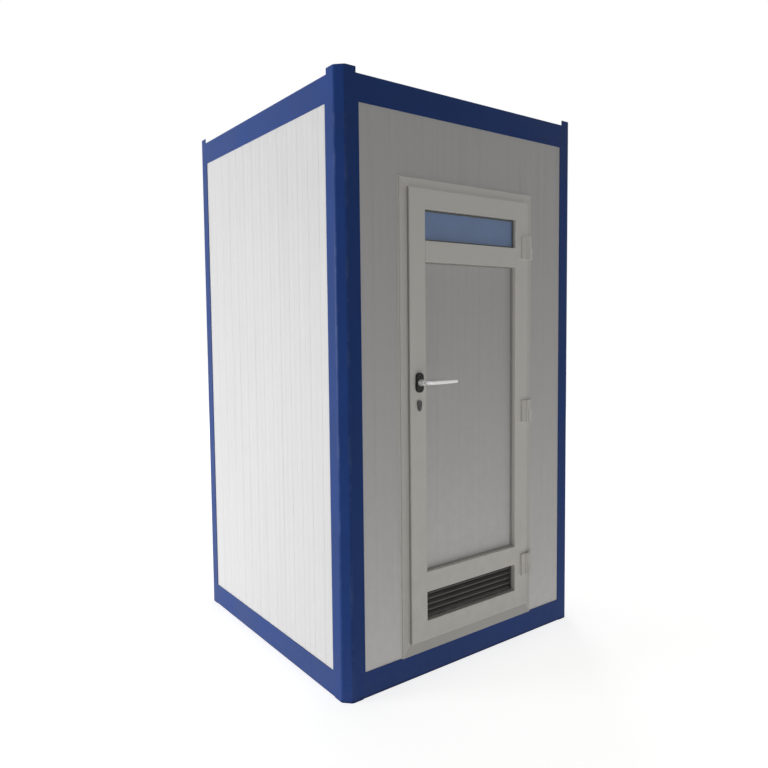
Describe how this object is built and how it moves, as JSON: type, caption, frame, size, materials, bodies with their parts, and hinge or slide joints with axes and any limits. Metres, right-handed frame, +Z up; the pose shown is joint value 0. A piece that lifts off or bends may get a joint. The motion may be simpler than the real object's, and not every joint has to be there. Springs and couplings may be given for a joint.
{
  "type": "portable toilet cabin",
  "caption": "Small steel-framed toilet cabin with white ribbed panel walls and a hinged panelled door with a transom light and a vent louvre.",
  "frame": {"origin": "centre of the footprint, on the ground under the middle floor bearer", "axes": "+X to the right along the front, +Y towards the back, +Z up; the door is in the -Y side"},
  "size_m": [1.33, 1.396, 2.4],
  "materials": {
    "blue_steel": "satin paint",
    "wall_sheet": "satin coated sheet with fine ribs",
    "infill_sheet": "satin coated sheet with fine ribs",
    "roof_sheet": "coated sheet",
    "deck": "vinyl floor",
    "door_profile": "smooth extruded profile",
    "hinge_cover": "smooth",
    "frosted_glass": "frosted",
    "louvre": "satin",
    "lever_plate": "satin",
    "lock": "satin",
    "lever": "satin"
  },
  "bodies": {
    "cabin": {"post_front_left": "blue_steel", "post_front_right": "blue_steel", "post_back_left": "blue_steel", "post_back_right": "blue_steel", "base_rail_front": "blue_steel", "base_rail_back": "blue_steel", "base_rail_left": "blue_steel", "base_rail_right": "blue_steel", "top_rail_front": "blue_steel", "top_rail_back": "blue_steel", "top_rail_left": "blue_steel", "top_rail_right": "blue_steel", "floor_bearer": "blue_steel", "floor_deck": "deck", "wall_back": "wall_sheet", "wall_left": "wall_sheet", "wall_right": "wall_sheet", "wall_front_left": "wall_sheet", "wall_front_right": "wall_sheet", "wall_over_door": "wall_sheet", "roof_panel": "roof_sheet", "door_jamb_left": "door_profile", "door_jamb_right": "door_profile", "door_head": "door_profile", "door_sill": "door_profile", "hinge_frame_top": "hinge_cover", "hinge_frame_middle": "hinge_cover", "hinge_frame_bottom": "hinge_cover"},
    "door_leaf": {"leaf_stile_lock": "door_profile", "leaf_stile_hinge": "door_profile", "leaf_rail_top": "door_profile", "leaf_rail_upper": "door_profile", "leaf_rail_lower": "door_profile", "leaf_rail_bottom": "door_profile", "leaf_infill": "infill_sheet", "leaf_glass": "frosted_glass", "leaf_louvre": "louvre", "hinge_leaf_top": "hinge_cover", "hinge_leaf_middle": "hinge_cover", "hinge_leaf_bottom": "hinge_cover", "lever_plate_outer": "lever_plate", "lever_plate_inner": "lever_plate", "lock_cylinder": "lock"},
    "lever": {"lever_outer": "lever", "lever_inner": "lever"}
  },
  "joints": [
    {"name": "door_swing", "type": "hinge", "parent": "cabin", "child": "door_leaf", "pos_m": [0.3295, -0.683, 1.058], "axis": [0, 0, 1], "range_deg": [0, 110]},
    {"name": "lever_turn", "type": "hinge", "parent": "door_leaf", "child": "lever", "pos_m": [-0.313, -0.674, 1.223], "axis": [0, 1, 0], "range_deg": [0, 40], "stiffness_Nm_per_rad": 1, "springref_deg": -17.19}
  ]
}
